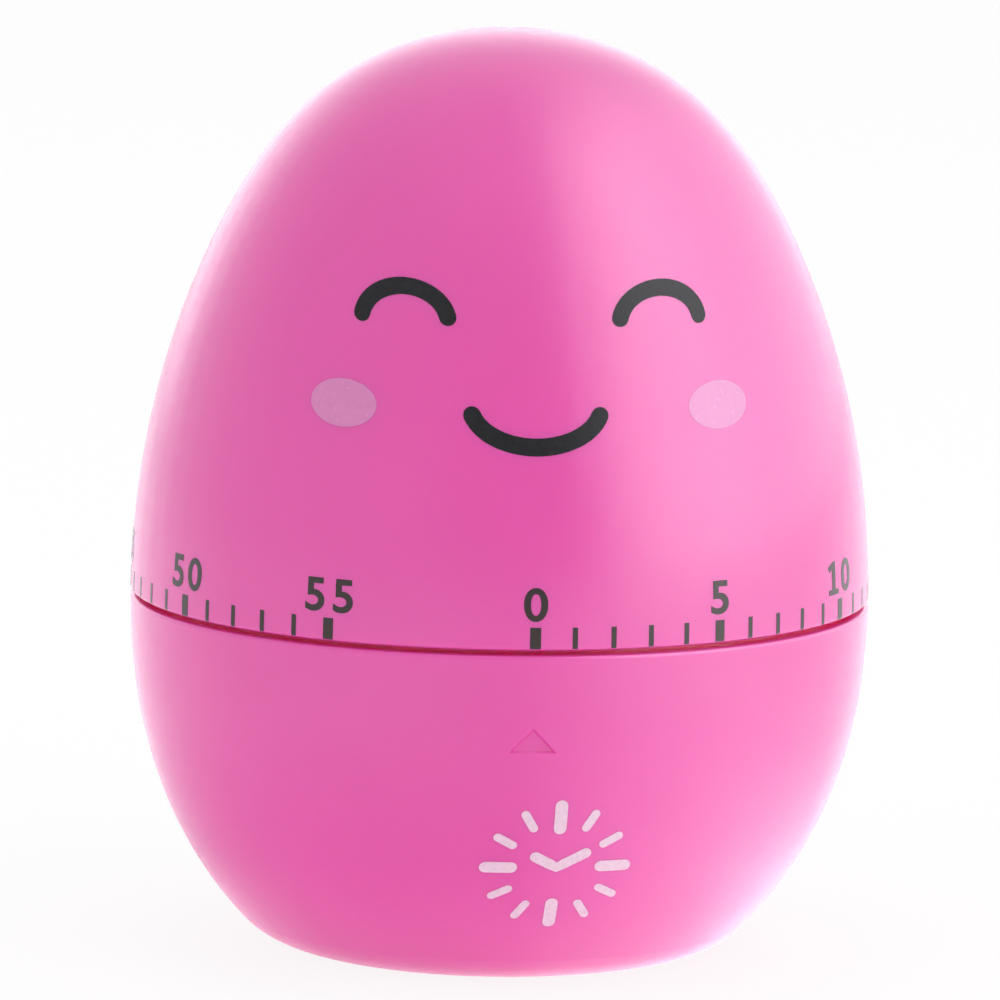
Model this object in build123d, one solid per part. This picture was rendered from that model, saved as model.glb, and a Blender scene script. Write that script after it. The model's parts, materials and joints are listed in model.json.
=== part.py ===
from build123d import *
import os
from math import acos, asin, atan2, cos, degrees, hypot, pi, radians, sin, sqrt, tan

os.makedirs("parts", exist_ok=True)

# Body shells, all sizes in millimetres
EGG_RADIUS = 30.0
EGG_HEIGHT = 74.6
SEAM_HEIGHT = 28.5
SEAM_GAP = 0.4
SEAM_ROUND = 0.3
CROWN_FULLNESS = 0.188
LOWER_DEPTH = 35.4
LOWER_POWER = 2.2
WALL = 2.0
FLOOR = 2.6
FOOT_ROUND = 7.0
FOOT_WIDTH = 1.2
FOOT_RECESS = 0.8
LIP_THICKNESS = 1.2
LIP_RISE = 2.6
LIP_ROOT = 3.0
LIP_CLEARANCE = 0.25
RABBET_WALL = 1.2
INDEX_WIDTH = 4.2
INDEX_LENGTH = 2.2
INDEX_DROP = 5.9
INDEX_DEPTH = 0.2
INDEX_SLOPE = 40
SOUND_SLOTS = 6
SOUND_SLOT_INNER = 4.0
SOUND_SLOT_OUTER = 8.6
SOUND_SLOT_WIDTH = 1.8

# Frame of the movement
PLATE_RADIUS = 20.5
PLATE_THICKNESS = 1.0
PLATE_HEIGHT = 9.0
PLATE_SPACE = 17.0
PILLAR_RADIUS = 1.5
PILLAR_TENON = 1.0
PILLAR_CIRCLE = 18.5
PILLAR_ANGLES = (24, 150, 270)
NUT_FLATS = 4.0
NUT_HEIGHT = 1.4
SCREW_RADIUS = 1.25
SCREW_HEAD_RADIUS = 2.3
SCREW_HEAD_HEIGHT = 1.6
SCREW_CIRCLE = 11.4
SCREW_ANGLES = (60, 180, 300)
SCREW_SINK = 4.0
SCREW_CLEARANCE = 0.1
BOSS_WALL = 0.8

# Running fits
PIVOT_CLEARANCE = 0.05
END_SHAKE = 0.15
FACE_GAP = 0.05

# Time train and strike train
PRESSURE_ANGLE = radians(20)
BACKLASH = 0.06
TOOTH_SHIFT = 0.5
MAIN_MODULE = 0.3
TRAIN_MODULE = 0.25
MAIN_TEETH = 64
SECOND_TEETH = 60
THIRD_TEETH = 54
PINION_LEAVES = 8
WHEEL_THICKNESS = 0.9
PINION_OVERLAP = 0.5
STAFF_RADIUS = 0.7
PIVOT_RADIUS = 0.35
SECOND_ANGLE = 0
THIRD_ANGLE = 110
ESCAPE_ANGLE = 150
STAR_ANGLE = 200
ESCAPE_TEETH = 15
ESCAPE_RADIUS = 4.5
ESCAPE_TOOTH = 1.2
STAR_TEETH = 12
STAR_RADIUS = 4.0
STAR_TOOTH = 1.1

# Verge with its balance, and the hammer
VERGE_ANGLE = 190
VERGE_DISTANCE = 6.2
HAMMER_ANGLE = 225
HAMMER_DISTANCE = 5.6
PALLET_SPREAD = 50
PALLET_PIN = 0.35
PALLET_CLEARANCE = 0.6
PALLET_PLATE = 0.6
BALANCE_RADIUS = 5.0
BALANCE_RIM = 0.9
BALANCE_THICKNESS = 0.8
HAMMER_REACH = 8.0
HAMMER_ARM_ANGLE = 300
HAMMER_ARM_WIDTH = 2.4
HAMMER_HEAD_RADIUS = 1.5
HAMMER_HEAD_HEIGHT = 3.2

# Main arbor and the pieces that stand on it
ARBOR_RADIUS = 2.0
ARBOR_PIVOT = 1.4
ARBOR_TOP = 55.0
ARBOR_FLAT = 1.4
ARBOR_SHOULDER = 3.2
SHOULDER_THICKNESS = 0.5
SPRING_STRIP = 0.3
SPRING_PITCH = 0.7
SPRING_HALF_TURNS = 13
SPRING_WIDTH = 4.0
SPRING_POST = 0.6
CLUTCH_RADIUS = 4.6
CLUTCH_STRIP = 0.3
CLUTCH_RISE = 0.3
CLIP_RADIUS = 3.0
CLIP_THICKNESS = 0.5
CAM_RADIUS = 5.5
CAM_THICKNESS = 1.0
CAM_NOTCH_WIDTH = 2.4
CAM_NOTCH_DEPTH = 0.8
STOP_FINGER_REACH = 6.2
STOP_FINGER_WIDTH = 1.2
STOP_FINGER_THICKNESS = 0.8
STOP_PIN_RADIUS = 0.5
STOP_PIN_CIRCLE = 5.4
STOP_PIN_ANGLE = 40
STOP_OFFSET = 12.5

# Trip lever
LEVER_PIVOT = (7.0, -7.6)
LEVER_TAIL = (-7.8, -9.4)
LEVER_WIDTH = 1.6
LEVER_THICKNESS = 0.8
LEVER_NOSE_WIDTH = 1.0
LEVER_NOSE_CLEARANCE = 0.2
LEVER_PIN_RADIUS = 0.6
LEVER_PIN_HEAD = 1.2

# Bell
BELL_RADIUS = 20.8
BELL_SKIRT = 3.5
BELL_DOME_RISE = 6.6
BELL_WALL = 0.8
BELL_LIFT = 2.5
BELL_POST_RADIUS = 4.2
BELL_POST_NECK = 3.0
BELL_NUT_FLATS = 9.0
BELL_NUT_HEIGHT = 1.7

# Socket in the upper shell
SOCKET_WALL = 3.0
SOCKET_CLEARANCE = 0.02
SOCKET_GAP = 0.8
RIB_COUNT = 4
RIB_THICKNESS = 1.2
RIB_START = 4.0

# Heights of the layers between the plates
LOW_FACE = PLATE_HEIGHT + PLATE_THICKNESS
HIGH_FACE = LOW_FACE + PLATE_SPACE
PLATE_TOP = HIGH_FACE + PLATE_THICKNESS
STRIKE_Z = LOW_FACE + 0.9
SPRING_Z = STRIKE_Z + WHEEL_THICKNESS + 0.5
GREAT_Z = SPRING_Z + SPRING_WIDTH + 1.0
SECOND_Z = GREAT_Z + 2.2
THIRD_Z = SECOND_Z + 2.0
ESCAPE_Z = THIRD_Z + 1.7
PALLET_Z = ESCAPE_Z + WHEEL_THICKNESS + 0.3
BALANCE_Z = PALLET_Z + PALLET_PLATE + 0.2
CAM_Z = ESCAPE_Z + 1.0
LEVER_Z = CAM_Z + (CAM_THICKNESS - LEVER_THICKNESS) / 2
FINGER_Z = CAM_Z + CAM_THICKNESS


def polar(radius, angle, centre=(0, 0)):
    return (centre[0] + radius * cos(radians(angle)), centre[1] + radius * sin(radians(angle)))


def rod(radius, low, high, at=(0, 0)):
    cylinder = Cylinder(radius, high - low, align=(Align.CENTER, Align.CENTER, Align.MIN))
    return Pos(at[0], at[1], low) * cylinder


def ring(outer, inner, low, high, at=(0, 0)):
    return rod(outer, low, high, at) - rod(inner, low - 1, high + 1, at)


def bar(start, end, width, low, high):
    middle = ((start[0] + end[0]) / 2, (start[1] + end[1]) / 2)
    length = hypot(end[0] - start[0], end[1] - start[1])
    angle = degrees(atan2(end[1] - start[1], end[0] - start[0]))
    box = Box(length, width, high - low, align=(Align.CENTER, Align.CENTER, Align.MIN))
    return Pos(middle[0], middle[1], low) * Rot(0, 0, angle) * box


def slab(points, low, high):
    outline = Polyline(*[(x, y, low) for x, y in points], close=True)
    return extrude(make_face(outline), high - low, dir=(0, 0, 1))


def hexagon(flats, low, high, at=(0, 0)):
    corner = flats / 2 / cos(radians(30))
    return slab([polar(corner, 60 * k, at) for k in range(6)], low, high)


# Arbor places, from the centre distances of the meshing wheels
def centre_distance(module, teeth):
    return module * (teeth + PINION_LEAVES) / 2


SECOND_AT = polar(centre_distance(MAIN_MODULE, MAIN_TEETH), SECOND_ANGLE)
THIRD_AT = polar(centre_distance(TRAIN_MODULE, SECOND_TEETH), THIRD_ANGLE, SECOND_AT)
ESCAPE_AT = polar(centre_distance(TRAIN_MODULE, THIRD_TEETH), ESCAPE_ANGLE, THIRD_AT)
VERGE_AT = polar(VERGE_DISTANCE, VERGE_ANGLE, ESCAPE_AT)
STAR_AT = polar(centre_distance(MAIN_MODULE, MAIN_TEETH), STAR_ANGLE)
HAMMER_AT = polar(HAMMER_DISTANCE, HAMMER_ANGLE, STAR_AT)


# Egg outline: one curve above the seam and one below it
def crown_point(turn, inset):
    rise = EGG_HEIGHT - inset - SEAM_HEIGHT
    radius = (EGG_RADIUS - inset) * cos(turn) * (1 + CROWN_FULLNESS * sin(turn) ** 6)
    return (radius, 0, SEAM_HEIGHT + rise * sin(turn))


def crown_curve(inset, low):
    start = asin((low - SEAM_HEIGHT) / (EGG_HEIGHT - inset - SEAM_HEIGHT))
    steps = 20
    points = [crown_point(start + (pi / 2 - start) * k / steps, inset) for k in range(steps)]
    points.append((0, 0, EGG_HEIGHT - inset))
    ahead = crown_point(start + 0.001, inset)
    slope = (ahead[0] - points[0][0], 0, ahead[2] - points[0][2])
    return Spline(*points, tangents=[slope, (-1, 0, 0)], tangent_scalars=[1, 1])


def lower_radius(height, inset):
    depth = (SEAM_HEIGHT - height) / (LOWER_DEPTH - inset)
    return (EGG_RADIUS - inset) * sqrt(1 - depth**LOWER_POWER)


def lower_curve(inset, low, high):
    steps = 8
    heights = [low + (high - low) * k / steps for k in range(steps + 1)]
    return Spline(*[(lower_radius(z, inset), 0, z) for z in heights])


def crown_solid(inset, low):
    curve = crown_curve(inset, low)
    edge = curve @ 0
    frame = Polyline(curve @ 1, (0, 0, low), (edge.X, 0, low))
    return revolve(make_face([curve, *frame.edges()]), Axis.Z)


def lower_solid(inset, low, high):
    curve = lower_curve(inset, low, high)
    foot = curve @ 0
    edge = curve @ 1
    frame = Polyline((edge.X, 0, high), (0, 0, high), (0, 0, low), (foot.X, 0, low))
    return revolve(make_face([curve, *frame.edges()]), Axis.Z)


def widest_circle(shape, height):
    circles = [e for e in shape.edges().filter_by(GeomType.CIRCLE) if abs(e.center().Z - height) < 0.001]
    return max(circles, key=lambda e: e.radius)


# Upper shell: the turning dial, with ribs and a flatted socket for the arbor
crown_low = SEAM_HEIGHT + SEAM_GAP / 2
bell_low = PLATE_TOP + BELL_LIFT
dome_low = bell_low + BELL_SKIRT
dome_radius = (BELL_RADIUS**2 + BELL_DOME_RISE**2) / (2 * BELL_DOME_RISE)
dome_centre = dome_low + BELL_DOME_RISE - dome_radius
bell_seat = dome_centre + sqrt((dome_radius - BELL_WALL) ** 2 - BELL_POST_RADIUS**2)
nut_seat = dome_centre + sqrt(dome_radius**2 - BELL_POST_NECK**2)
post_top = nut_seat + BELL_NUT_HEIGHT + 0.2
socket_low = post_top + SOCKET_GAP

upper_shell = crown_solid(0, crown_low)
upper_shell = fillet(widest_circle(upper_shell, crown_low), SEAM_ROUND)
upper_shell -= crown_solid(WALL, crown_low)
upper_shell -= rod(EGG_RADIUS - RABBET_WALL, 0, crown_low + LIP_RISE + LIP_CLEARANCE)
middle_of_wall = crown_solid(WALL / 2, crown_low)
socket_radius = ARBOR_RADIUS + SOCKET_WALL
socket = rod(socket_radius, socket_low, EGG_HEIGHT) & middle_of_wall
rib_low = socket_low + RIB_START
for k in range(RIB_COUNT // 2):
    rib = Box(2 * EGG_RADIUS, RIB_THICKNESS, EGG_HEIGHT, align=(Align.CENTER, Align.CENTER, Align.MIN))
    socket += Pos(0, 0, rib_low) * Rot(0, 0, 45 + 90 * k) * rib & middle_of_wall
upper_shell += socket


def flatted_rod(radius, flat, low, high):
    side = Box(radius, 4 * radius, high - low, align=(Align.MIN, Align.CENTER, Align.MIN))
    return rod(radius, low, high) - Pos(flat, 0, low) * side


upper_shell -= flatted_rod(
    ARBOR_RADIUS + SOCKET_CLEARANCE, ARBOR_FLAT + SOCKET_CLEARANCE, socket_low - 0.01, ARBOR_TOP + 0.4
)

# Lower shell: the fixed half, with a lip inside the seam, screw bosses, sound slots and the index
lower_top = SEAM_HEIGHT - SEAM_GAP / 2
lower_shell = lower_solid(0, 0, lower_top)
lower_shell = fillet(widest_circle(lower_shell, lower_top), SEAM_ROUND)
lower_shell = fillet(widest_circle(lower_shell, 0), FOOT_ROUND)
foot_face = lower_shell.faces().sort_by(Axis.Z)[0]
foot_radius = sqrt(foot_face.area / pi)
lower_shell -= lower_solid(WALL, FLOOR, lower_top)
lip_outer = EGG_RADIUS - RABBET_WALL - LIP_CLEARANCE
lip_inner = lip_outer - LIP_THICKNESS
lip_low = lower_top - LIP_ROOT
lower_shell += ring(EGG_RADIUS - WALL / 2, lip_inner, lip_low, lower_top - SEAM_ROUND)
lower_shell += ring(lip_outer, lip_inner, lip_low, lower_top + SEAM_GAP + LIP_RISE)
recess_radius = foot_radius - FOOT_WIDTH
lower_shell -= rod(recess_radius, -1, FOOT_RECESS)
sink_radius = SCREW_HEAD_RADIUS + 2 * SCREW_CLEARANCE
for angle in SCREW_ANGLES:
    at = polar(SCREW_CIRCLE, angle)
    lower_shell += rod(sink_radius + BOSS_WALL, FOOT_RECESS, PLATE_HEIGHT, at)
    lower_shell -= rod(sink_radius, -1, SCREW_SINK, at)
    lower_shell -= rod(SCREW_RADIUS + SCREW_CLEARANCE, 0, PLATE_HEIGHT + 1, at)
for k in range(SOUND_SLOTS):
    angle = 30 + 360 / SOUND_SLOTS * k
    slot_ends = (polar(SOUND_SLOT_INNER, angle), polar(SOUND_SLOT_OUTER, angle))
    lower_shell -= bar(*slot_ends, SOUND_SLOT_WIDTH, 0, FLOOR + 1)
index_top = SEAM_HEIGHT - INDEX_DROP
index_low = index_top - INDEX_LENGTH
index_radius = lower_radius(index_low, 0)
index_lean = (lower_radius(index_top, 0) - index_radius) / INDEX_LENGTH
index_proud = INDEX_DEPTH / 4
index_plane = Plane((0, -index_radius - index_proud, index_low), x_dir=(1, 0, 0), z_dir=(0, 1, index_lean))
index_outline = Polyline((-INDEX_WIDTH / 2, 0), (0, -INDEX_LENGTH), (INDEX_WIDTH / 2, 0), close=True)
lower_shell -= extrude(index_plane * make_face(index_outline), INDEX_DEPTH + index_proud, taper=INDEX_SLOPE)

# Screws that hold the movement to the bosses
movement_screws = []
for angle in SCREW_ANGLES:
    at = polar(SCREW_CIRCLE, angle)
    head_low = SCREW_SINK - SCREW_HEAD_HEIGHT
    screw = rod(SCREW_HEAD_RADIUS, head_low, SCREW_SINK, at)
    screw += rod(SCREW_RADIUS, SCREW_SINK, LOW_FACE + 0.4, at)
    for turn in (0, 90):
        ends = (polar(1.4, angle + turn, at), polar(-1.4, angle + turn, at))
        screw -= bar(*ends, 0.5, head_low - 1, head_low + 0.8)
    movement_screws.append(screw)

# Plates, pillars and nuts
train_places = (SECOND_AT, THIRD_AT, ESCAPE_AT, VERGE_AT, STAR_AT)
pillar_places = [polar(PILLAR_CIRCLE, angle) for angle in PILLAR_ANGLES]
bottom_plate = rod(PLATE_RADIUS, PLATE_HEIGHT, LOW_FACE)
bottom_plate -= rod(ARBOR_PIVOT + PIVOT_CLEARANCE, 0, LOW_FACE + 1)
top_plate = rod(PLATE_RADIUS, HIGH_FACE, PLATE_TOP)
top_plate -= rod(BELL_POST_NECK, 0, PLATE_TOP + 1)
for at in (*train_places, HAMMER_AT):
    bottom_plate -= rod(PIVOT_RADIUS + PIVOT_CLEARANCE, 0, LOW_FACE + 1, at)
for at in train_places:
    top_plate -= rod(PIVOT_RADIUS + PIVOT_CLEARANCE, 0, PLATE_TOP + 1, at)
top_plate -= rod(STAFF_RADIUS + PIVOT_CLEARANCE, 0, PLATE_TOP + 1, HAMMER_AT)
stop_pin_at = polar(STOP_PIN_CIRCLE, STOP_PIN_ANGLE)
top_plate -= rod(STOP_PIN_RADIUS, 0, PLATE_TOP + 1, stop_pin_at)
top_plate -= rod(LEVER_PIN_RADIUS, 0, PLATE_TOP + 1, LEVER_PIVOT)
for angle in SCREW_ANGLES:
    bottom_plate -= rod(SCREW_RADIUS, 0, LOW_FACE + 1, polar(SCREW_CIRCLE, angle))
plate_pillars = []
pillar_nuts = []
for at in pillar_places:
    bottom_plate -= rod(PILLAR_TENON, 0, LOW_FACE + 1, at)
    top_plate -= rod(PILLAR_TENON, 0, PLATE_TOP + 1, at)
    nut_top = PLATE_TOP + NUT_HEIGHT
    pillar = rod(PILLAR_RADIUS, LOW_FACE, HIGH_FACE, at)
    plate_pillars.append(pillar + rod(PILLAR_TENON, PLATE_HEIGHT, nut_top, at))
    pillar_nuts.append(hexagon(NUT_FLATS, PLATE_TOP, nut_top, at) - rod(PILLAR_TENON, 0, nut_top + 1, at))
stop_pin = rod(STOP_PIN_RADIUS, FINGER_Z + FACE_GAP, PLATE_TOP, stop_pin_at)


# Wheels and pinions with involute teeth
def involute(angle):
    return tan(angle) - angle


def tooth_outline(teeth, module, shift, tip, root, at, aim):
    pitch = module * teeth / 2
    base = pitch * cos(PRESSURE_ANGLE)
    half = (pi / 2 + 2 * shift * tan(PRESSURE_ANGLE)) / teeth - BACKLASH / (2 * pitch)
    foot = max(base, root)
    flank = []
    if root < base:
        flank.append((root, half + involute(PRESSURE_ANGLE)))
    for k in range(3):
        radius = foot + (tip - foot) * k / 2
        flank.append((radius, half + involute(PRESSURE_ANGLE) - involute(acos(base / radius))))
    points = []
    for tooth in range(teeth):
        middle = aim + 360 / teeth * tooth
        points += [polar(radius, middle - degrees(angle), at) for radius, angle in flank]
        points += [polar(radius, middle + degrees(angle), at) for radius, angle in reversed(flank)]
    return points


def wheel(teeth, module, low, bore, at, aim):
    pitch = module * teeth / 2
    outline = tooth_outline(
        teeth, module, -TOOTH_SHIFT, pitch + 0.5 * module, pitch - 1.75 * module, at, aim
    )
    return slab(outline, low, low + WHEEL_THICKNESS) - rod(bore, low - 1, low + WHEEL_THICKNESS + 1, at)


def staff(at, radius=STAFF_RADIUS):
    turned = rod(radius, LOW_FACE + END_SHAKE, HIGH_FACE - END_SHAKE, at)
    return turned + rod(PIVOT_RADIUS, PLATE_HEIGHT, PLATE_TOP, at)


def pinion(module, mate_low, at, mate_direction):
    pitch = module * PINION_LEAVES / 2
    aim = mate_direction + 180 / PINION_LEAVES
    outline = tooth_outline(
        PINION_LEAVES, module, TOOTH_SHIFT, pitch + 1.2 * module, pitch - 0.75 * module, at, aim
    )
    low = mate_low - PINION_OVERLAP
    high = mate_low + WHEEL_THICKNESS + PINION_OVERLAP
    return staff(at) + slab(outline, low, high)


arbor_bore = ARBOR_RADIUS + PIVOT_CLEARANCE
great_wheel = wheel(MAIN_TEETH, MAIN_MODULE, GREAT_Z, arbor_bore, (0, 0), SECOND_ANGLE)
second_pinion = pinion(MAIN_MODULE, GREAT_Z, SECOND_AT, SECOND_ANGLE + 180)
second_wheel = wheel(SECOND_TEETH, TRAIN_MODULE, SECOND_Z, STAFF_RADIUS, SECOND_AT, THIRD_ANGLE)
third_pinion = pinion(TRAIN_MODULE, SECOND_Z, THIRD_AT, THIRD_ANGLE + 180)
third_wheel = wheel(THIRD_TEETH, TRAIN_MODULE, THIRD_Z, STAFF_RADIUS, THIRD_AT, ESCAPE_ANGLE)
escape_pinion = pinion(TRAIN_MODULE, THIRD_Z, ESCAPE_AT, ESCAPE_ANGLE + 180)
strike_wheel = wheel(MAIN_TEETH, MAIN_MODULE, STRIKE_Z, arbor_bore, (0, 0), STAR_ANGLE)
star_pinion = pinion(MAIN_MODULE, STRIKE_Z, STAR_AT, STAR_ANGLE + 180)


# Pointed wheels that the pallets of the verge and the hammer work on
def pointed_wheel(teeth, tip, depth, lean, at):
    points = []
    for tooth in range(teeth):
        points.append(polar(tip - depth, 360 / teeth * tooth, at))
        points.append(polar(tip, 360 / teeth * (tooth + lean), at))
    wheel_body = slab(points, ESCAPE_Z, ESCAPE_Z + WHEEL_THICKNESS)
    return wheel_body - rod(STAFF_RADIUS, ESCAPE_Z - 1, ESCAPE_Z + 2, at)


escape_wheel = pointed_wheel(ESCAPE_TEETH, ESCAPE_RADIUS, ESCAPE_TOOTH, 0.8, ESCAPE_AT)
star_wheel = pointed_wheel(STAR_TEETH, STAR_RADIUS, STAR_TOOTH, 0.5, STAR_AT)


# Two pins on a forked plate, drawn just outside the wheel's points through the whole swing
def pallets(staff_at, wheel_at, wheel_radius):
    toward = degrees(atan2(staff_at[1] - wheel_at[1], staff_at[0] - wheel_at[0]))
    reach = wheel_radius + PALLET_CLEARANCE + PALLET_PIN
    plate = rod(2 * STAFF_RADIUS, PALLET_Z, PALLET_Z + PALLET_PLATE, staff_at)
    for side in (PALLET_SPREAD, -PALLET_SPREAD):
        pin_at = polar(reach, toward + side, wheel_at)
        plate += bar(staff_at, pin_at, 1.2, PALLET_Z, PALLET_Z + PALLET_PLATE)
        plate += rod(2 * PALLET_PIN, PALLET_Z, PALLET_Z + PALLET_PLATE, pin_at)
        plate += rod(PALLET_PIN, ESCAPE_Z - 0.2, PALLET_Z, pin_at)
    return plate


verge = staff(VERGE_AT) + pallets(VERGE_AT, ESCAPE_AT, ESCAPE_RADIUS)
balance_top = BALANCE_Z + BALANCE_THICKNESS
balance_wheel = ring(BALANCE_RADIUS, BALANCE_RADIUS - BALANCE_RIM, BALANCE_Z, balance_top, VERGE_AT)
spoke_reach = BALANCE_RADIUS - BALANCE_RIM / 2
spoke_ends = (polar(spoke_reach, VERGE_ANGLE, VERGE_AT), polar(-spoke_reach, VERGE_ANGLE, VERGE_AT))
balance_wheel += bar(*spoke_ends, 1.2, BALANCE_Z, balance_top)
balance_wheel += rod(2 * STAFF_RADIUS, BALANCE_Z, balance_top, VERGE_AT)
balance_wheel -= rod(STAFF_RADIUS, BALANCE_Z - 1, balance_top + 1, VERGE_AT)

# Hammer: staff through the top plate, arm above it, head inside the bell
arm_low = PLATE_TOP + 0.8
arm_high = arm_low + 1.0
hammer_staff = rod(STAFF_RADIUS, LOW_FACE + END_SHAKE, arm_high, HAMMER_AT)
hammer_staff += rod(PIVOT_RADIUS, PLATE_HEIGHT, LOW_FACE + 1, HAMMER_AT)
hammer_staff += pallets(HAMMER_AT, STAR_AT, STAR_RADIUS)
head_at = polar(HAMMER_REACH, HAMMER_ARM_ANGLE, HAMMER_AT)
hammer_arm = bar(HAMMER_AT, head_at, HAMMER_ARM_WIDTH, arm_low, arm_high)
hammer_arm += rod(HAMMER_ARM_WIDTH / 2, arm_low, arm_high, HAMMER_AT)
hammer_arm += rod(HAMMER_ARM_WIDTH / 2, arm_low, arm_high, head_at)
hammer_arm -= rod(STAFF_RADIUS, arm_low - 1, arm_high + 1, HAMMER_AT)
hammer_head = rod(HAMMER_HEAD_RADIUS, arm_high, arm_high + HAMMER_HEAD_HEIGHT, head_at)

# Bell on a hollow post that is also the upper bearing of the arbor
bell = rod(BELL_RADIUS, bell_low, EGG_HEIGHT) & Pos(0, 0, dome_centre) * Sphere(dome_radius)
dome_inside = Pos(0, 0, dome_centre) * Sphere(dome_radius - BELL_WALL)
bell -= rod(BELL_RADIUS - BELL_WALL, 0, EGG_HEIGHT) & dome_inside
bell -= rod(BELL_POST_NECK, 0, EGG_HEIGHT)
bell_post = rod(BELL_POST_NECK, HIGH_FACE, post_top) + rod(BELL_POST_RADIUS, PLATE_TOP, bell_seat)
bell_post -= rod(arbor_bore, 0, EGG_HEIGHT)
bell_nut = hexagon(BELL_NUT_FLATS, nut_seat, nut_seat + BELL_NUT_HEIGHT)
bell_nut -= rod(BELL_POST_NECK, 0, EGG_HEIGHT)

# Main arbor with its two shoulders and the flatted top
clip_low = GREAT_Z + WHEEL_THICKNESS + FACE_GAP + CLUTCH_STRIP + CLUTCH_RISE
main_arbor = rod(ARBOR_PIVOT, PLATE_HEIGHT - 0.4, LOW_FACE + 1)
main_arbor += rod(ARBOR_RADIUS, LOW_FACE + END_SHAKE, socket_low)
main_arbor += flatted_rod(ARBOR_RADIUS, ARBOR_FLAT, socket_low, ARBOR_TOP)
for seat in (STRIKE_Z, GREAT_Z):
    main_arbor += rod(ARBOR_SHOULDER, seat - FACE_GAP - SHOULDER_THICKNESS, seat - FACE_GAP)

# Spring strip wound in half turns about two centres
strip_start = ARBOR_RADIUS + 0.15 + SPRING_STRIP / 2


def strip_edge(offset):
    arcs = []
    for k in range(SPRING_HALF_TURNS):
        side = 1 if k % 2 == 0 else -1
        centre = 0 if k % 2 == 0 else SPRING_PITCH / 2
        radius = strip_start + k * SPRING_PITCH / 2 + offset
        ends = ((centre + side * radius, 0, SPRING_Z), (centre - side * radius, 0, SPRING_Z))
        arcs.append(ThreePointArc(ends[0], (centre, side * radius, SPRING_Z), ends[1]))
    return arcs


outer_edge = strip_edge(SPRING_STRIP / 2)
inner_edge = strip_edge(-SPRING_STRIP / 2)
strip_ends = [Line(outer_edge[0] @ 0, inner_edge[0] @ 0), Line(outer_edge[-1] @ 1, inner_edge[-1] @ 1)]
mainspring = extrude(make_face([*outer_edge, *inner_edge, *strip_ends]), SPRING_WIDTH, dir=(0, 0, 1))
strip_tip = outer_edge[-1] @ 1
spring_post_at = (strip_tip.X - SPRING_POST - FACE_GAP, 0)
spring_post = rod(SPRING_POST, STRIKE_Z + WHEEL_THICKNESS, SPRING_Z + SPRING_WIDTH, spring_post_at)

# Slipping clutch above the great wheel, and the clip that loads it
clutch_low = GREAT_Z + WHEEL_THICKNESS + FACE_GAP
clutch_bore = ARBOR_RADIUS + PIVOT_CLEARANCE
clutch_face = make_face(
    Polyline(
        (clutch_bore, 0, clutch_low + CLUTCH_RISE),
        (CLUTCH_RADIUS, 0, clutch_low),
        (CLUTCH_RADIUS, 0, clutch_low + CLUTCH_STRIP),
        (clutch_bore, 0, clutch_low + CLUTCH_RISE + CLUTCH_STRIP),
        close=True,
    )
)
clutch_spring = revolve(clutch_face, Axis.Z)
arbor_clip = ring(CLIP_RADIUS, ARBOR_RADIUS, clip_low, clip_low + CLIP_THICKNESS)
arbor_clip -= bar((0, 0), (0, 2 * CLIP_RADIUS), 1.2 * ARBOR_RADIUS, clip_low - 1, clip_low + 2)

# Trip cam with its notch at the lever nose, and the finger that meets the stop pin
cam_high = CAM_Z + CAM_THICKNESS
trip_cam = ring(CAM_RADIUS, ARBOR_RADIUS, CAM_Z, cam_high)
notch_ends = ((0, -CAM_RADIUS + CAM_NOTCH_DEPTH), (0, -2 * CAM_RADIUS))
trip_cam -= bar(*notch_ends, CAM_NOTCH_WIDTH, CAM_Z - 1, cam_high + 1)
finger_angle = STOP_PIN_ANGLE - STOP_OFFSET
finger_ends = (polar(ARBOR_RADIUS + 0.5, finger_angle), polar(STOP_FINGER_REACH, finger_angle))
trip_cam += bar(*finger_ends, STOP_FINGER_WIDTH, FINGER_Z, FINGER_Z + STOP_FINGER_THICKNESS)

# Trip lever on its headed pin
lever_high = LEVER_Z + LEVER_THICKNESS
trip_lever = bar(LEVER_PIVOT, LEVER_TAIL, LEVER_WIDTH, LEVER_Z, lever_high)
trip_lever += rod(LEVER_WIDTH, LEVER_Z, lever_high, LEVER_PIVOT)
nose_ends = ((0, -CAM_RADIUS - LEVER_NOSE_CLEARANCE), (0, LEVER_PIVOT[1] - 1.0))
trip_lever += bar(*nose_ends, LEVER_NOSE_WIDTH, LEVER_Z, lever_high)
trip_lever -= rod(LEVER_PIN_RADIUS + PIVOT_CLEARANCE, LEVER_Z - 1, lever_high + 1, LEVER_PIVOT)
lever_pin = rod(LEVER_PIN_RADIUS, LEVER_Z - FACE_GAP, PLATE_TOP, LEVER_PIVOT)
lever_pin += rod(LEVER_PIN_HEAD, LEVER_Z - FACE_GAP - 0.6, LEVER_Z - FACE_GAP, LEVER_PIVOT)
lever_pin += rod(LEVER_PIN_HEAD, lever_high + FACE_GAP, HIGH_FACE, LEVER_PIVOT)

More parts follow.
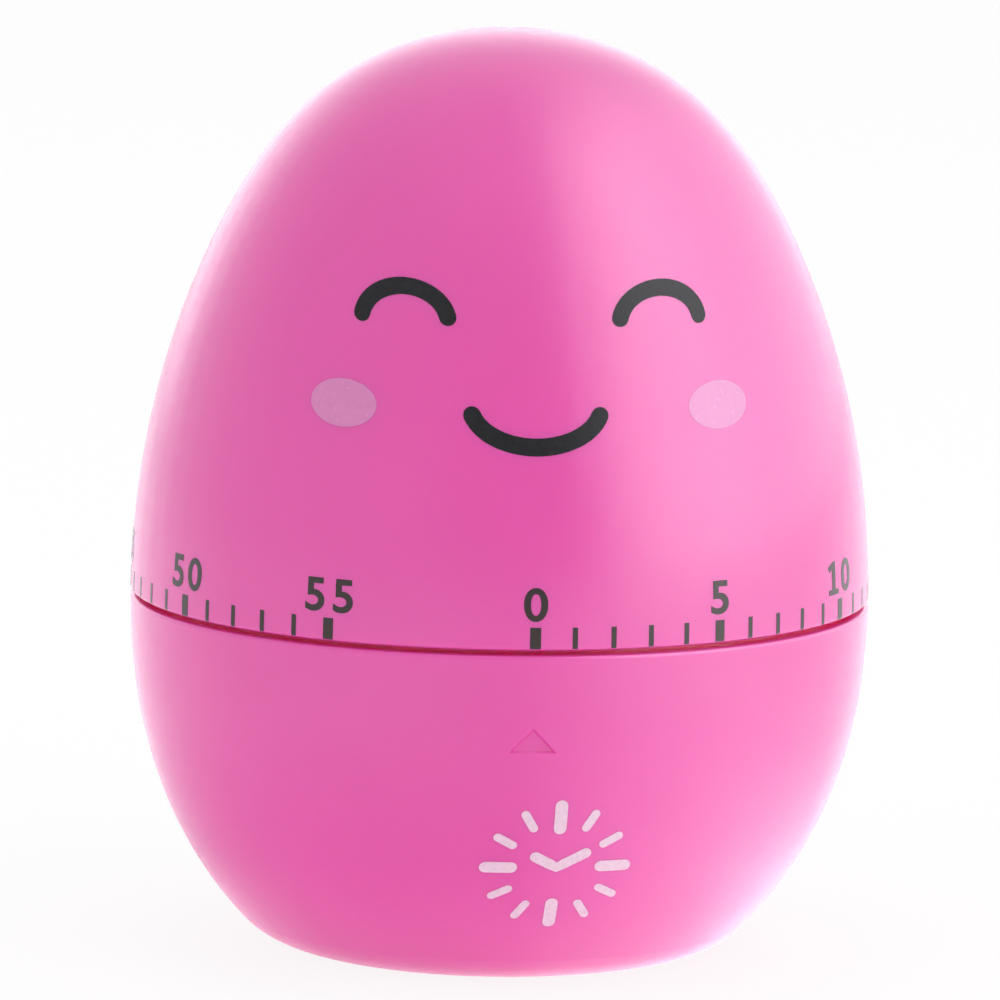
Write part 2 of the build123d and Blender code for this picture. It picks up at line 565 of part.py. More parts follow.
nodes = {
    "upper_shell": upper_shell,
    "lower_shell": lower_shell,
    "movement_screws": Compound(children=movement_screws),
    "bottom_plate": bottom_plate,
    "top_plate": top_plate,
    "plate_pillars": Compound(children=plate_pillars),
    "pillar_nuts": Compound(children=pillar_nuts),
    "stop_pin": stop_pin,
    "bell": bell,
    "bell_post": bell_post,
    "bell_nut": bell_nut,
    "main_arbor": main_arbor,
    "mainspring": mainspring,
    "clutch_spring": clutch_spring,
    "arbor_clip": arbor_clip,
    "trip_cam": trip_cam,
    "trip_lever": trip_lever,
    "lever_pin": lever_pin,
    "great_wheel": great_wheel,
    "second_pinion": second_pinion,
    "second_wheel": second_wheel,
    "third_pinion": third_pinion,
    "third_wheel": third_wheel,
    "escape_pinion": escape_pinion,
    "escape_wheel": escape_wheel,
    "verge": verge,
    "balance_wheel": balance_wheel,
    "strike_wheel": strike_wheel,
    "spring_post": spring_post,
    "star_pinion": star_pinion,
    "star_wheel": star_wheel,
    "hammer_staff": hammer_staff,
    "hammer_arm": hammer_arm,
    "hammer_head": hammer_head,
}
for name, shape in nodes.items():
    export_step(shape, f"parts/{name}.step")
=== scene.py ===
import json
from math import cos, hypot, radians, sin, sqrt

import bmesh
import bpy
from mathutils import Matrix, Vector


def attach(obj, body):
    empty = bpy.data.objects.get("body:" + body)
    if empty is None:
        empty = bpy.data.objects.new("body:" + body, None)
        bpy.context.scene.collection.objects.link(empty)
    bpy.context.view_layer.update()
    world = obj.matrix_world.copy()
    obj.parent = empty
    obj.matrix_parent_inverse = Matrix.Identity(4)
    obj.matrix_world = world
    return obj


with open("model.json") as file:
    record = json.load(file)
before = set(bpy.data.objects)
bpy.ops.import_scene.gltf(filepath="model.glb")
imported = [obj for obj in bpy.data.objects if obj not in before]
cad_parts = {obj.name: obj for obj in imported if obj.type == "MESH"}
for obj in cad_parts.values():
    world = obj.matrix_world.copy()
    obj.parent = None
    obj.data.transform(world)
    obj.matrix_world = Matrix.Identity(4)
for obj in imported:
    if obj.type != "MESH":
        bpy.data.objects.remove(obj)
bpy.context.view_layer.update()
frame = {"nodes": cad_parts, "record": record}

MM = 0.001

# Body outline, repeated from the solid model, in millimetres
EGG_RADIUS = 30.0
EGG_HEIGHT = 74.6
SEAM_HEIGHT = 28.5
CROWN_FULLNESS = 0.188
CROWN_LOW = 28.7
LOWER_DEPTH = 35.4
LOWER_POWER = 2.2
SEAM_ROUND = 0.3

# Print on the shells
INK_RISE = 0.012
INK_SINK = 0.08
MINUTE_ANGLE = 5.965
LAST_MINUTE = 55
TICK_FOOT = 28.84
TICK_HEIGHT = 1.72
TICK_STEPS = 14
MAJOR_TICK_WIDTH = 0.86
MINOR_TICK_WIDTH = 0.42
DIGIT_HEIGHT = 2.66
DIGIT_GAP = 0.42
DIGIT_PITCH = 2.48
DIGIT_WIDENING = 1.1
DIGIT_BOLDNESS = 0.02
DIGIT_STRIPS = 5
DIGIT_CURVE_STEPS = 6
MERGE_DISTANCE = 0.0002
SLICE_TOLERANCE = 0.0001
ONE_STEM = ((0.1, 0.16), (0.1, 1.0), (-0.06, 1.0))
ONE_FLAG = ((-0.34, 0.84), (-0.27, 0.69), (-0.1, 0.78))
ONE_FOOT = ((-0.1, 0.16), (-0.3, 0.16), (-0.3, 0.0), (0.3, 0.0), (0.3, 0.16))
ONE_OUTLINE = ONE_STEM + ONE_FLAG + ONE_FOOT
FACE_STROKE = 1.4
EYE_PLACE = (10.4, 53.6)
EYE_SIZE = (3.6, 2.9)
EYE_SWEEP = (170, 10)
SMILE_HEIGHT = 47.6
SMILE_SIZE = (5.2, 3.3)
SMILE_SWEEP = (195, 345)
CHEEK_PLACE = (15.6, 47.2)
CHEEK_SIZE = (5.8, 3.8)
CLOCK_TURN = 5.0
CLOCK_HEIGHT = 10.9
CLOCK_RADIUS = 5.6
LONG_DASH = (2.0, 1.0)
SHORT_DASH = (1.4, 0.7)
HOUR_HAND = (2.0, -60)
MINUTE_HAND = (2.6, 60)
HAND_WIDTH = 0.9
HAND_STEPS = 4

# Groove between the halves, where painted shade colours the inner lip a saturated crimson
GROOVE_RADIUS = 29.3
GROOVE_REACH = 3.2
GROOVE_FADE = 0.2

# Camera, in millimetres and degrees
CAMERA_DISTANCE = 650.0
CAMERA_AZIMUTH = -5.5
CAMERA_ELEVATION = 8.4
CAMERA_ROLL = 1.03
CAMERA_TARGET = (-0.09, 0.0, 36.11)
FRAME_WIDTH = 81.28
SENSOR_WIDTH = 36.0

# Grain of the finishes: noise scales
PLASTIC_CLOUDS = 45
PLASTIC_GRAIN = 900
INK_CLOUDS = 1500
INK_GRAIN = 2500
METAL_GRAIN_RATIO = 4

# Stage light levels, where 1 is white
ROOM_LIGHT = 0.5
RIGHT_GLOSS = 3.8
LEFT_GLOSS = 0.3
BACK_GLOSS = 1.0
TOP_GLOSS = 0.45
FLOOR_BOUNCE = 0.32
FLOOR_RIGHT_GLOSS = 2.4
FLOOR_LEFT_GLOSS = 0.3
FLOOR_FOOT_GLOSS = 0.7
FLOOR_WHITENESS = 0.88
FLOOR_COLOUR = (0.9, 0.9, 0.9, 1)
WHITE = (1, 1, 1, 1)
FLOOR_HALF = 3

# Shares of those levels that are left at the weak end of a span
LEFT_BACK_SHARE = 0.15
FLOOR_REAR_SHARE = 0.35
FLOOR_NEAR_SHARE = 0.5
FLOOR_FAR_SHARE = 0.7
FOOT_LEFT_SHARE = 0.5

# Where the reflected floor brightens or fades: start and end along a bearing's part, then in metres from the middle
FLOOR_RIGHT_SPAN = (0.0, 1.0)
FLOOR_FRONT_SPAN = (0.3, -0.5)
FLOOR_LEFT_SPAN = (0.0, -0.4)
FOOT_LEFT_SPAN = (-0.8, 0.0)
FOOT_RIGHT_SPAN = (0.2, 0.8)
FOOT_GLOSS_SPAN = (0.018, 0.034)
FLOOR_CLEAR_SPAN = (0.014, 0.03)
FLOOR_NEARBY_SPAN = (0.03, 0.07)
FLOOR_FAR_SPAN = (0.04, 0.08)

# Where the reflected room brightens or fades: start and end along a direction's part
RIGHT_WAY = (1.0, 0.0, 0.28)
RIGHT_SPAN = (0.27, 0.87)
LEFT_SPAN = (-0.15, -0.6)
AHEAD_SPAN = (0.85, -0.3)
BEHIND_SPAN = (0.0, 1.0)
LOW_SPAN = (0.2, 0.8)
OFF_LEFT_SPAN = (-0.4, -0.75)
ABOVE_SPAN = (0.4, 0.85)
GLOSS_CEILING = 10.0

# Soft lamps: name, azimuth and elevation in degrees, distance, width and height in metres, watts
LAMPS = (
    ("front_right", 58, 20, 1.0, 0.9, 1.5, 6),
    ("left", -85, 15, 1.0, 1.4, 1.5, 3.5),
    ("above", 0, 89, 1.2, 1.2, 1.2, 5),
)


def crown_radius(height):
    share = min(1.0, (height - SEAM_HEIGHT) / (EGG_HEIGHT - SEAM_HEIGHT))
    into_rim = min(SEAM_ROUND, max(0.0, CROWN_LOW + SEAM_ROUND - height))
    rim_inset = SEAM_ROUND - sqrt(SEAM_ROUND**2 - into_rim**2)
    return EGG_RADIUS * sqrt(max(0.0, 1 - share**2)) * (1 + CROWN_FULLNESS * share**6) - rim_inset


def lower_radius(height):
    depth = (SEAM_HEIGHT - height) / LOWER_DEPTH
    return EGG_RADIUS * sqrt(1 - max(0.0, depth) ** LOWER_POWER)


def egg_radius(height):
    return crown_radius(height) if height >= SEAM_HEIGHT else lower_radius(height)


def slope(height):
    step = 0.01
    return (egg_radius(height + step) - egg_radius(height - step)) / (2 * step)


def climb(start, length):
    """Height reached by going a length along the surface, up or down."""
    height = start
    steps = 8
    for _ in range(steps):
        height += length / steps / hypot(1, slope(height))
    return height


def on_egg(place, across, up, lift):
    """Point on the egg: place is (turn from the front, height), then millimetres across and up from it."""
    height = climb(place[1], up)
    radius = egg_radius(height)
    normal = Vector((1, -slope(height))).normalized()
    reach = radius + lift * normal.x
    turn = radians(place[0]) + across / radius
    return Vector((reach * sin(turn), -reach * cos(turn), height + lift * normal.y)) * MM


def new_object(name, mesh, body, finish):
    mesh.materials.append(finish)
    piece = bpy.data.objects.new(name, mesh)
    bpy.context.scene.collection.objects.link(piece)
    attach(piece, body)
    return piece


def add_patch(shape, place, rows):
    """Closed thin patch of print: rows of (across, up) points, all of one length."""
    top = [[shape.verts.new(on_egg(place, x, y, INK_RISE)) for x, y in row] for row in rows]
    low = [[shape.verts.new(on_egg(place, x, y, -INK_SINK)) for x, y in row] for row in rows]
    last = len(rows) - 1
    side = len(rows[0]) - 1
    for i in range(last):
        for j in range(side):
            shape.faces.new((top[i][j], top[i][j + 1], top[i + 1][j + 1], top[i + 1][j]))
            shape.faces.new((low[i][j], low[i + 1][j], low[i + 1][j + 1], low[i][j + 1]))
        shape.faces.new((top[i][0], top[i + 1][0], low[i + 1][0], low[i][0]))
        shape.faces.new((top[i][side], low[i][side], low[i + 1][side], top[i + 1][side]))
    for j in range(side):
        shape.faces.new((top[0][j], low[0][j], low[0][j + 1], top[0][j + 1]))
        shape.faces.new((top[last][j], top[last][j + 1], low[last][j + 1], low[last][j]))


def print_mesh(name, patches):
    shape = bmesh.new()
    for place, rows in patches:
        add_patch(shape, place, rows)
    bmesh.ops.recalc_face_normals(shape, faces=shape.faces)
    mesh = bpy.data.meshes.new(name)
    shape.to_mesh(mesh)
    shape.free()
    return mesh


RIBS = (-1, -0.75, -0.5, -0.25, 0, 0.25, 0.5, 0.75, 1)
CAP_ANGLES = (82, 68, 54, 38, 20)
OVAL_ANGLES = range(-86, 87, 4)


def block(width, height):
    return [[(width / 2 * rib, height * step / TICK_STEPS) for rib in RIBS] for step in range(TICK_STEPS + 1)]


def stroke(points, width):
    """Ribbon along a line of points, with rounded ends."""
    half = width / 2
    line = [Vector(point) for point in points]
    spine = []
    for i, point in enumerate(line):
        along = (line[min(i + 1, len(line) - 1)] - line[max(i - 1, 0)]).normalized()
        spine.append((point, along, half))
    start, start_along = spine[0][:2]
    end, end_along = spine[-1][:2]
    caps = [radians(angle) for angle in CAP_ANGLES]
    head = [(start - start_along * half * sin(angle), start_along, half * cos(angle)) for angle in caps]
    tail = [(end + end_along * half * sin(angle), end_along, half * cos(angle)) for angle in reversed(caps)]
    rows = []
    for point, along, reach in head + spine + tail:
        across = Vector((along.y, -along.x)) * reach
        rows.append([tuple(point + across * rib) for rib in RIBS])
    return rows


def arc(middle, size, start, end, steps=28):
    angles = [radians(start + (end - start) * k / steps) for k in range(steps + 1)]
    return [(middle[0] + size[0] * cos(angle), middle[1] + size[1] * sin(angle)) for angle in angles]


def oval(middle, width, height):
    rows = []
    for angle in OVAL_ANGLES:
        reach = width / 2 * cos(radians(angle))
        up = middle[1] + height / 2 * sin(radians(angle))
        rows.append([(middle[0] + reach * rib, up) for rib in RIBS])
    return rows


def material(name):
    made = bpy.data.materials.new(name)
    made.use_nodes = True
    nodes = made.node_tree.nodes
    return made, nodes, made.node_tree.links, nodes["Principled BSDF"]


def noise(nodes, links, scale, detail=3.0):
    coordinates = nodes.new("ShaderNodeTexCoord")
    texture = nodes.new("ShaderNodeTexNoise")
    texture.inputs["Scale"].default_value = scale
    texture.inputs["Detail"].default_value = detail
    links.new(coordinates.outputs["Object"], texture.inputs["Vector"])
    return texture.outputs["Fac"]


def ramp(nodes, links, source, low, high, start=0.3, end=0.7):
    made = nodes.new("ShaderNodeValToRGB")
    made.color_ramp.elements[0].position = start
    made.color_ramp.elements[1].position = end
    made.color_ramp.elements[0].color = low
    made.color_ramp.elements[1].color = high
    links.new(source, made.inputs["Fac"])
    return made.outputs["Color"]


def grey(value):
    return (value, value, value, 1)


def spread(nodes, links, source, start, end, low, high, smooth=False):
    """Value that goes from low to high as the source goes from start to end."""
    made = nodes.new("ShaderNodeMapRange")
    if smooth:
        made.interpolation_type = "SMOOTHSTEP"
    for socket, value in (("From Min", start), ("From Max", end), ("To Min", low), ("To Max", high)):
        made.inputs[socket].default_value = value
    links.new(source, made.inputs["Value"])
    return made.outputs["Result"]


def join(nodes, links, operation, first, second):
    made = nodes.new("ShaderNodeMath")
    made.operation = operation
    links.new(first, made.inputs[0])
    links.new(second, made.inputs[1])
    return made.outputs[0]


def split(nodes, links, vector):
    made = nodes.new("ShaderNodeSeparateXYZ")
    links.new(vector, made.inputs[0])
    return made.outputs


def measure(nodes, links, operation, vector):
    made = nodes.new("ShaderNodeVectorMath")
    made.operation = operation
    links.new(vector, made.inputs[0])
    return made.outputs["Value" if operation == "LENGTH" else "Vector"]


def groove_mask(nodes, links):
    """One inside the groove between the two halves, and zero outside: where the shade in the groove is painted."""
    place = nodes.new("ShaderNodeTexCoord").outputs["Object"]
    level = nodes.new("ShaderNodeVectorMath")
    level.operation = "MULTIPLY"
    level.inputs[1].default_value = (1.0, 1.0, 0.0)
    links.new(place, level.inputs[0])
    radius = measure(nodes, links, "LENGTH", level.outputs["Vector"])
    inside = spread(nodes, links, radius, GROOVE_RADIUS * MM, (GROOVE_RADIUS + GROOVE_FADE) * MM, 1.0, 0.0)
    near_seam = nodes.new("ShaderNodeMath")
    near_seam.operation = "COMPARE"
    near_seam.inputs[1].default_value = SEAM_HEIGHT * MM
    near_seam.inputs[2].default_value = GROOVE_REACH * MM
    links.new(split(nodes, links, place)["Z"], near_seam.inputs[0])
    return join(nodes, links, "MULTIPLY", inside, near_seam.outputs[0])


# Places of the colour sockets on a mix node: factor, first, second, and the result
MIX_COLOUR_SOCKETS = (0, 6, 7)
MIX_COLOUR_RESULT = 2


def gloss_plastic(name, low, high, painted_shade):
    made, nodes, links, shader = material(name)
    outside = ramp(nodes, links, noise(nodes, links, PLASTIC_CLOUDS), low, high)
    roughness = ramp(nodes, links, noise(nodes, links, PLASTIC_GRAIN), grey(0.19), grey(0.25))
    # Painted shade: the groove's shaded crimson is mixed into the base colour where the mask is one
    shade_mix = nodes.new("ShaderNodeMix")
    shade_mix.data_type = "RGBA"
    factor, first, second = [shade_mix.inputs[key] for key in MIX_COLOUR_SOCKETS]
    second.default_value = painted_shade
    links.new(groove_mask(nodes, links), factor)
    links.new(outside, first)
    links.new(shade_mix.outputs[MIX_COLOUR_RESULT], shader.inputs["Base Color"])
    links.new(roughness, shader.inputs["Roughness"])
    shader.inputs["Specular IOR Level"].default_value = 0.75
    shader.inputs["Subsurface Weight"].default_value = 0.5
    shader.inputs["Subsurface Radius"].default_value = (1.0, 0.25, 0.5)
    shader.inputs["Subsurface Scale"].default_value = 0.002
    return made


def printed(name, low, high, rough_low, rough_high, specular, sheen=0.0):
    made, nodes, links, shader = material(name)
    roughness = ramp(nodes, links, noise(nodes, links, INK_GRAIN), grey(rough_low), grey(rough_high))
    links.new(ramp(nodes, links, noise(nodes, links, INK_CLOUDS), low, high), shader.inputs["Base Color"])
    links.new(roughness, shader.inputs["Roughness"])
    shader.inputs["Specular IOR Level"].default_value = specular
    shader.inputs["Sheen Weight"].default_value = sheen
    shader.inputs["Sheen Roughness"].default_value = 0.3
    shader.inputs["Sheen Tint"].default_value = (1.0, 0.6, 0.88, 1)
    return made


def metal(name, low, high, rough_low, rough_high, scale):
    made, nodes, links, shader = material(name)
    grain = noise(nodes, links, METAL_GRAIN_RATIO * scale)
    links.new(ramp(nodes, links, noise(nodes, links, scale), low, high), shader.inputs["Base Color"])
    links.new(ramp(nodes, links, grain, grey(rough_low), grey(rough_high)), shader.inputs["Roughness"])
    shader.inputs["Metallic"].default_value = 1.0
    return made


PINK_LOW = (0.67, 0.045, 0.335, 1)
PINK_HIGH = (0.70, 0.052, 0.355, 1)
# Painted shade: the saturated crimson that the groove between the halves shows
PINK_PAINTED_SHADE = (0.97, 0.002, 0.25, 1)
pink = gloss_plastic("pink_plastic", PINK_LOW, PINK_HIGH, PINK_PAINTED_SHADE)
ink = printed("dark_ink", (0.006, 0.006, 0.008, 1), (0.011, 0.010, 0.013, 1), 0.24, 0.34, 0.2)
scale_ink = printed("scale_ink", (0.010, 0.001, 0.002, 1), (0.015, 0.003, 0.004, 1), 0.17, 0.23, 0.42, 0.3)
cheek_ink = printed("cheek_ink", (0.56, 0.16, 0.39, 1), (0.58, 0.17, 0.41, 1), 0.22, 0.28, 0.75)
pale_ink = printed("pale_ink", (0.68, 0.49, 0.60, 1), (0.72, 0.53, 0.64, 1), 0.24, 0.32, 0.5)
finishes = {
    "dial_plastic": pink,
    "base_plastic": pink,
    "screw_steel": metal("zinc_steel", (0.50, 0.51, 0.53, 1), (0.62, 0.63, 0.65, 1), 0.25, 0.4, 800),
    "plate_steel": metal("rolled_steel", (0.48, 0.48, 0.48, 1), (0.6, 0.6, 0.6, 1), 0.3, 0.5, 400),
    "staff_steel": metal("turned_steel", (0.45, 0.45, 0.47, 1), (0.6, 0.6, 0.62, 1), 0.18, 0.3, 700),
    "spring_steel": metal("blued_steel", (0.12, 0.14, 0.22, 1), (0.2, 0.22, 0.3, 1), 0.2, 0.35, 500),
    "bell_steel": metal("plated_bell", (0.62, 0.62, 0.64, 1), (0.72, 0.72, 0.74, 1), 0.06, 0.14, 300),
    "turned_brass": metal("turned_brass", (0.60, 0.42, 0.14, 1), (0.7, 0.5, 0.19, 1), 0.18, 0.3, 700),
    "wheel_brass": metal("stamped_brass", (0.58, 0.41, 0.14, 1), (0.7, 0.52, 0.2, 1), 0.22, 0.36, 500),
}
slots = {row["node"]: row["material_slot"] for row in frame["record"]["subparts"]}
for node, cad_object in frame["nodes"].items():
    cad_object.data.materials.clear()
    cad_object.data.materials.append(finishes[slots[node]])

# Minute scale on the turning half
ticks = []
for minute in range(LAST_MINUTE + 1):
    width = MAJOR_TICK_WIDTH if minute % 5 == 0 else MINOR_TICK_WIDTH
    ticks.append(((MINUTE_ANGLE * minute, TICK_FOOT), block(width, TICK_HEIGHT)))
new_object("minute_ticks", print_mesh("minute_ticks", ticks), "dial", scale_ink)


def flat_digit(text):
    """Outline faces of one digit, in its own plane; the one has a flag and a foot."""
    flat = bmesh.new()
    if text == "1":
        outline = flat.faces.new([flat.verts.new((x, y, 0)) for x, y in ONE_OUTLINE])
        outline.normal_update()
        bmesh.ops.triangulate(flat, faces=[outline])
        return flat
    curve = bpy.data.curves.new("digit", "FONT")
    curve.body = text
    curve.offset = DIGIT_BOLDNESS
    curve.resolution_u = DIGIT_CURVE_STEPS
    holder = bpy.data.objects.new("digit", curve)
    bpy.context.scene.collection.objects.link(holder)
    bpy.context.view_layer.update()
    filled = holder.evaluated_get(bpy.context.evaluated_depsgraph_get())
    flat.from_mesh(bpy.data.meshes.new_from_object(filled))
    bmesh.ops.remove_doubles(flat, verts=flat.verts, dist=MERGE_DISTANCE)
    bpy.data.objects.remove(holder)
    return flat


def slice_flat(flat, axis, low, high):
    """Cuts a flat shape into narrow strips, so that it can bend with the shell."""
    normal = [0, 0, 0]
    normal[axis] = 1
    for k in range(1, DIGIT_STRIPS):
        place = [0, 0, 0]
        place[axis] = low + (high - low) * k / DIGIT_STRIPS
        everything = flat.verts[:] + flat.edges[:] + flat.faces[:]
        bmesh.ops.bisect_plane(flat, geom=everything, dist=SLICE_TOLERANCE, plane_co=place, plane_no=normal)


def add_digit(shape, text, place, shift):
    flat = flat_digit(text)
    lows = [min(v.co[k] for v in flat.verts) for k in (0, 1)]
    highs = [max(v.co[k] for v in flat.verts) for k in (0, 1)]
    for axis in (0, 1):
        slice_flat(flat, axis, lows[axis], highs[axis])
    size = DIGIT_HEIGHT / (highs[1] - lows[1])
    middle = (lows[0] + highs[0]) / 2
    spread_x = size * DIGIT_WIDENING
    spots = [(shift + (v.co.x - middle) * spread_x, (v.co.y - lows[1]) * size) for v in flat.verts]
    flat.verts.index_update()
    top = [shape.verts.new(on_egg(place, x, y, INK_RISE)) for x, y in spots]
    low = [shape.verts.new(on_egg(place, x, y, -INK_SINK)) for x, y in spots]
    for face in flat.faces:
        corners = [v.index for v in face.verts]
        shape.faces.new([top[k] for k in corners])
        shape.faces.new([low[k] for k in reversed(corners)])
    for edge in flat.edges:
        if len(edge.link_faces) == 1:
            a, b = [v.index for v in edge.verts]
            shape.faces.new((top[a], top[b], low[b], low[a]))
    flat.free()


shape = bmesh.new()
digit_foot = TICK_FOOT + TICK_HEIGHT + DIGIT_GAP
for minute in range(0, LAST_MINUTE + 1, 5):
    text = str(minute)
    for k, digit in enumerate(text):
        shift = DIGIT_PITCH * (k - (len(text) - 1) / 2)
        add_digit(shape, digit, (MINUTE_ANGLE * minute, digit_foot), shift)
bmesh.ops.recalc_face_normals(shape, faces=shape.faces)
number_mesh = bpy.data.meshes.new("minute_numbers")
shape.to_mesh(number_mesh)
shape.free()
new_object("minute_numbers", number_mesh, "dial", scale_ink)

# Plain smiling face on the turning half
features = [((0, SMILE_HEIGHT), stroke(arc((0, 0), SMILE_SIZE, *SMILE_SWEEP), FACE_STROKE))]
cheeks = []
for side in (-1, 1):
    eye = arc((side * EYE_PLACE[0], 0), EYE_SIZE, *EYE_SWEEP)
    features.append(((0, EYE_PLACE[1]), stroke(eye, FACE_STROKE)))
    cheeks.append(((0, CHEEK_PLACE[1]), oval((side * CHEEK_PLACE[0], 0), *CHEEK_SIZE)))
new_object("face_lines", print_mesh("face_lines", features), "dial", ink)
new_object("face_cheeks", print_mesh("face_cheeks", cheeks), "dial", cheek_ink)


def hand(length, angle):
    steps = [length * k / HAND_STEPS for k in range(HAND_STEPS + 1)]
    return [(reach * sin(radians(angle)), reach * cos(radians(angle))) for reach in steps]


# Pale clock of twelve dashes on the fixed half
clock_place = (CLOCK_TURN, CLOCK_HEIGHT)
clock = []
for hour in range(12):
    angle = radians(360 / 12 * hour)
    length, width = LONG_DASH if hour % 3 == 0 else SHORT_DASH
    inner = CLOCK_RADIUS - length
    ends = [(r * sin(angle), r * cos(angle)) for r in (inner, (inner + CLOCK_RADIUS) / 2, CLOCK_RADIUS)]
    clock.append((clock_place, stroke(ends, width)))
hands = list(reversed(hand(*HOUR_HAND))) + hand(*MINUTE_HAND)[1:]
clock.append((clock_place, stroke(hands, HAND_WIDTH)))
new_object("clock_mark", print_mesh("clock_mark", clock), "base", pale_ink)

for shell in ("upper_shell", "lower_shell"):
    even = frame["nodes"][shell].modifiers.new("even_normals", "WEIGHTED_NORMAL")
    even.keep_sharp = True

# Floor, lights, camera
floor_mesh = bpy.data.meshes.new("floor")
corners = [(FLOOR_HALF * x, FLOOR_HALF * y, 0) for x, y in ((-1, -1), (1, -1), (1, 1), (-1, 1))]
floor_mesh.from_pydata(corners, [], [(0, 1, 2, 3)])
floor = bpy.data.objects.new("floor", floor_mesh)
bpy.context.scene.collection.objects.link(floor)
white, nodes, links, shader = material("white_floor")
shader.inputs["Base Color"].default_value = FLOOR_COLOUR
shader.inputs["Roughness"].default_value = 0.6
rays = nodes.new("ShaderNodeLightPath").outputs
place = nodes.new("ShaderNodeNewGeometry").outputs["Position"]
bearing = split(nodes, links, measure(nodes, links, "NORMALIZE", place))
from_middle = measure(nodes, links, "LENGTH", place)
# The floor glows for reflections, brighter to the right and close to the foot, and gives bounce light; near the
# foot a painted shadow dims the right-hand glow
to_right = spread(nodes, links, bearing["X"], *FLOOR_RIGHT_SPAN, 0.0, FLOOR_RIGHT_GLOSS)
to_front = spread(nodes, links, bearing["Y"], *FLOOR_FRONT_SPAN, FLOOR_REAR_SHARE, 1.0)
foot_shadow = spread(nodes, links, from_middle, *FLOOR_CLEAR_SPAN, FLOOR_NEAR_SHARE, 1.0)
nearby = spread(nodes, links, from_middle, *FLOOR_NEARBY_SPAN, 1.0, FLOOR_FAR_SHARE)
ring = join(nodes, links, "MULTIPLY", foot_shadow, nearby)
right_side = join(nodes, links, "MULTIPLY", join(nodes, links, "MULTIPLY", to_right, to_front), ring)
to_left = spread(nodes, links, bearing["X"], *FLOOR_LEFT_SPAN, 0.0, FLOOR_LEFT_GLOSS)
far_off = spread(nodes, links, from_middle, *FLOOR_FAR_SPAN, 0.0, 1.0)
left_side = join(nodes, links, "MULTIPLY", to_left, far_off)
foot_left = spread(nodes, links, bearing["X"], *FOOT_LEFT_SPAN, FOOT_LEFT_SHARE, 1.0)
foot_right = spread(nodes, links, bearing["X"], *FOOT_RIGHT_SPAN, 1.0, 0.0)
foot_fade = spread(nodes, links, from_middle, *FOOT_GLOSS_SPAN, FLOOR_FOOT_GLOSS, 0.0, smooth=True)
near_foot = join(nodes, links, "MULTIPLY", join(nodes, links, "MULTIPLY", foot_left, foot_right), foot_fade)
gloss = join(nodes, links, "ADD", join(nodes, links, "ADD", right_side, left_side), near_foot)
gloss_level = join(nodes, links, "MULTIPLY", gloss, rays["Is Glossy Ray"])
bounce_level = spread(nodes, links, rays["Is Camera Ray"], 0.0, 1.0, FLOOR_BOUNCE, 0.0)
bounce = nodes.new("ShaderNodeEmission")
links.new(join(nodes, links, "ADD", gloss_level, bounce_level), bounce.inputs["Strength"])
lit = nodes.new("ShaderNodeAddShader")
links.new(shader.outputs[0], lit.inputs[0])
links.new(bounce.outputs[0], lit.inputs[1])
glow = nodes.new("ShaderNodeEmission")
blend = nodes.new("ShaderNodeMixShader")
links.new(spread(nodes, links, rays["Is Camera Ray"], 0.0, 1.0, 0.0, FLOOR_WHITENESS), blend.inputs["Fac"])
links.new(lit.outputs[0], blend.inputs[1])
links.new(glow.outputs[0], blend.inputs[2])
links.new(blend.outputs[0], nodes["Material Output"].inputs["Surface"])
floor_mesh.materials.append(white)

# White room; reflections see it brighter to the right, overhead, and low down to the left and behind
world = bpy.context.scene.world or bpy.data.worlds.new("world")
bpy.context.scene.world = world
world.use_nodes = True
nodes = world.node_tree.nodes
links = world.node_tree.links
rays = nodes.new("ShaderNodeLightPath").outputs
direct = join(nodes, links, "MAXIMUM", rays["Is Camera Ray"], rays["Is Transmission Ray"])
room = nodes["Background"]
room.inputs["Color"].default_value = WHITE
links.new(spread(nodes, links, direct, 0.0, 1.0, ROOM_LIGHT, 1.0), room.inputs["Strength"])
direction = nodes.new("ShaderNodeTexCoord").outputs["Generated"]
way = split(nodes, links, direction)
rightward = nodes.new("ShaderNodeVectorMath")
rightward.operation = "DOT_PRODUCT"
rightward.inputs[1].default_value = RIGHT_WAY
links.new(direction, rightward.inputs[0])
right = spread(nodes, links, rightward.outputs["Value"], *RIGHT_SPAN, 0.0, RIGHT_GLOSS, smooth=True)
ahead = spread(nodes, links, way["Y"], *AHEAD_SPAN, 0.0, 1.0)
behind = spread(nodes, links, way["Y"], *BEHIND_SPAN, 0.0, BACK_GLOSS)
low_down = spread(nodes, links, way["Z"], *LOW_SPAN, 1.0, 0.0, smooth=True)
left = spread(nodes, links, way["X"], *LEFT_SPAN, 0.0, LEFT_GLOSS, smooth=True)
low_left = join(nodes, links, "MULTIPLY", left, low_down)
sides = join(nodes, links, "ADD", join(nodes, links, "MULTIPLY", right, ahead), low_left)
off_left = spread(nodes, links, way["X"], *OFF_LEFT_SPAN, 1.0, LEFT_BACK_SHARE, smooth=True)
rear = join(nodes, links, "MULTIPLY", join(nodes, links, "MULTIPLY", behind, low_down), off_left)
above = spread(nodes, links, way["Z"], *ABOVE_SPAN, 0.0, TOP_GLOSS)
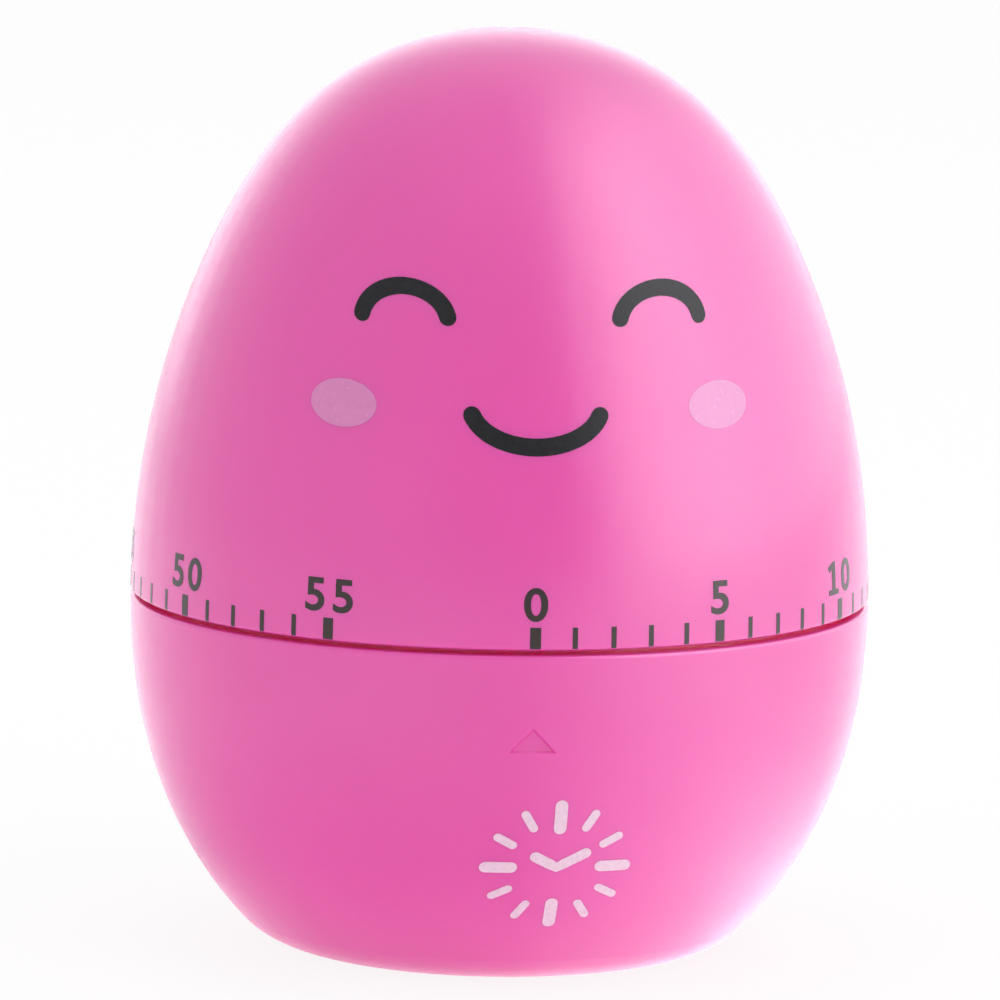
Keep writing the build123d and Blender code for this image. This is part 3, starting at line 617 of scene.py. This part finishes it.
around = join(nodes, links, "ADD", join(nodes, links, "ADD", rear, sides), above)
studio = nodes.new("ShaderNodeBackground")
studio.inputs["Color"].default_value = WHITE
brightness = spread(nodes, links, around, 0.0, GLOSS_CEILING, 1.0, 1.0 + GLOSS_CEILING)
links.new(brightness, studio.inputs["Strength"])
seen = nodes.new("ShaderNodeMixShader")
links.new(rays["Is Glossy Ray"], seen.inputs["Fac"])
links.new(room.outputs[0], seen.inputs[1])
links.new(studio.outputs[0], seen.inputs[2])
links.new(seen.outputs[0], nodes["World Output"].inputs["Surface"])


def toward(azimuth, elevation):
    """Direction from the object, where azimuth 0 is its front."""
    a = radians(azimuth)
    e = radians(elevation)
    return Vector((sin(a) * cos(e), -cos(a) * cos(e), sin(e)))


def softbox(name, azimuth, elevation, distance, width, height, power):
    lamp = bpy.data.lights.new(name, "AREA")
    lamp.shape = "RECTANGLE"
    lamp.size = width
    lamp.size_y = height
    lamp.energy = power
    lamp_object = bpy.data.objects.new(name, lamp)
    bpy.context.scene.collection.objects.link(lamp_object)
    aim = Vector((0, 0, EGG_HEIGHT / 2)) * MM
    lamp_object.location = aim + distance * toward(azimuth, elevation)
    lamp_object.rotation_euler = (aim - lamp_object.location).to_track_quat("-Z", "Y").to_euler()
    lamp_object.visible_camera = False
    lamp_object.visible_glossy = False


for lamp_row in LAMPS:
    softbox(*lamp_row)

lens = bpy.data.cameras.new("camera")
lens.sensor_width = SENSOR_WIDTH
lens.lens = SENSOR_WIDTH * CAMERA_DISTANCE / FRAME_WIDTH
lens.clip_end = 100
camera = bpy.data.objects.new("camera", lens)
bpy.context.scene.collection.objects.link(camera)
target = Vector(CAMERA_TARGET) * MM
camera.location = target + CAMERA_DISTANCE * MM * toward(CAMERA_AZIMUTH, CAMERA_ELEVATION)
look = (target - camera.location).to_track_quat("-Z", "Y").to_matrix().to_4x4()
camera.rotation_euler = (look @ Matrix.Rotation(radians(CAMERA_ROLL), 4, "Z")).to_euler()
bpy.context.scene.camera = camera
bpy.context.scene.view_settings.view_transform = "Standard"
